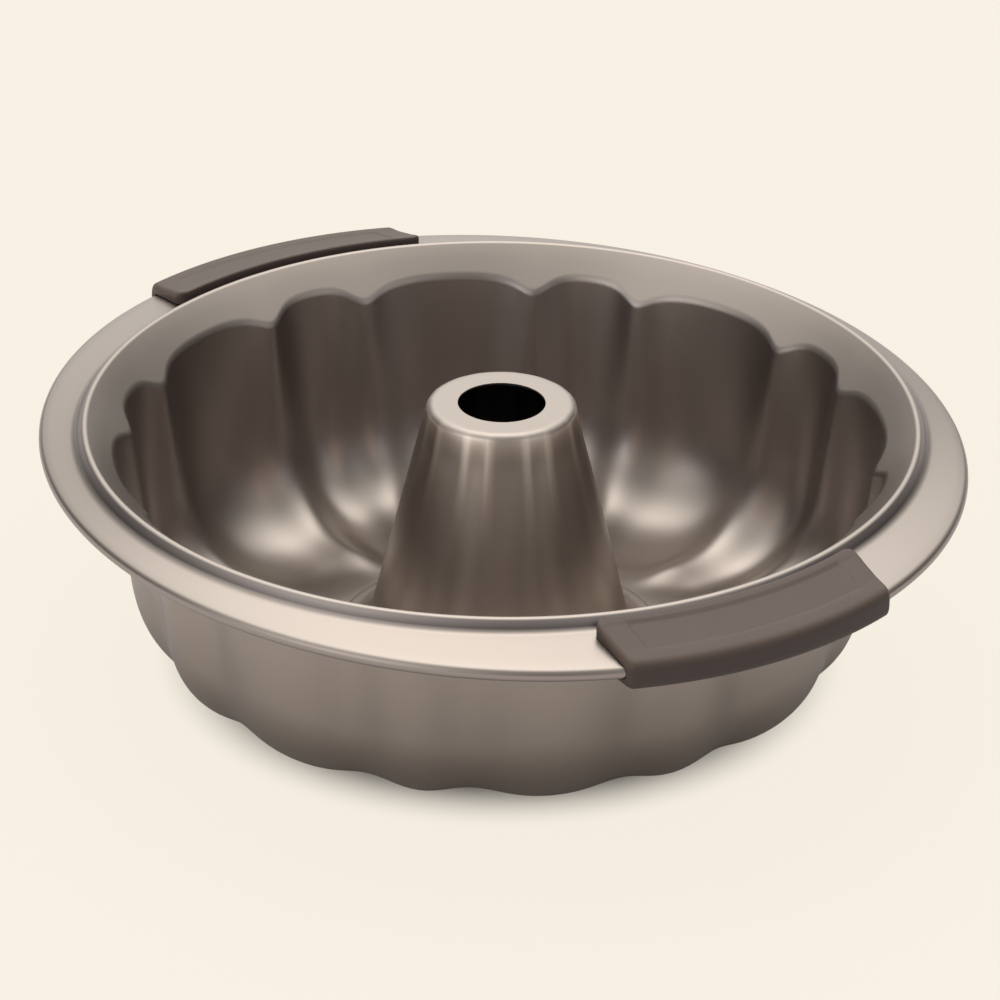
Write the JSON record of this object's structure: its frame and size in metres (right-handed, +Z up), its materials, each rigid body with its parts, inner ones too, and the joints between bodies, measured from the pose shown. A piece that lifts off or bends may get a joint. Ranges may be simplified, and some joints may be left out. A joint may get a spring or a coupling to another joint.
{
  "type": "fluted tube pan",
  "caption": "Round fluted ring-cake pan with a tapering centre tube, a beaded mouth, a sloping oval flange with a wired rolled edge, and silicone grip sleeves.",
  "frame": {"origin": "on the table under the tube's axis, at the middle of the standing ring", "axes": "+X through the middle of the front grip, +Z up through the tube"},
  "size_m": [0.293, 0.2662, 0.0826],
  "materials": {
    "nonstick_steel": "satin metallic non-stick coating, warm grey",
    "wire_steel": "plain drawn wire",
    "silicone": "matte moulded silicone, warm grey"
  },
  "bodies": {
    "pan": {"fluted_shell": "nonstick_steel", "centre_tube": "nonstick_steel", "rim_wire": "wire_steel"},
    "front_grip": {"front_grip": "silicone"},
    "rear_grip": {"rear_grip": "silicone"}
  },
  "joints": [
    {"name": "front_grip_pull", "type": "slide", "parent": "pan", "child": "front_grip", "axis": [1, 0, 0], "range_m": [0, 0.025]},
    {"name": "rear_grip_pull", "type": "slide", "parent": "pan", "child": "rear_grip", "axis": [-1, 0, 0], "range_m": [0, 0.025]}
  ]
}
